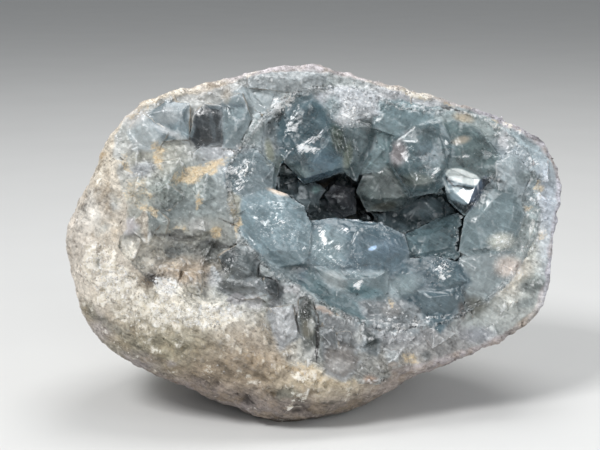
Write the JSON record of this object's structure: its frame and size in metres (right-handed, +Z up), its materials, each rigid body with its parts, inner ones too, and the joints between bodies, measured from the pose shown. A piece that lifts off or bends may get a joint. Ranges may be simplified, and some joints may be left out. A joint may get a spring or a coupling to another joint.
{
  "type": "celestite crystal cluster",
  "caption": "Rounded stone nodule broken open across its front, with a deep pocket lined by blocky grey-blue crystals; it stands on a flat worn underside.",
  "frame": {"origin": "under the middle of the whole piece, on the surface that it rests on", "axes": "+X to the right along the broken face, +Y from the broken face into the stone, +Z up"},
  "size_m": [0.149, 0.0888, 0.1027],
  "materials": {
    "stone": "rough chalky rind outside, broken sparkling grains of massive celestite across the front",
    "celestite": "translucent grey-blue crystal with cloudy veils and bright cleavage faces"
  },
  "bodies": {
    "root": {"stone": "stone", "pocket_crystals": "celestite"}
  },
  "joints": []
}
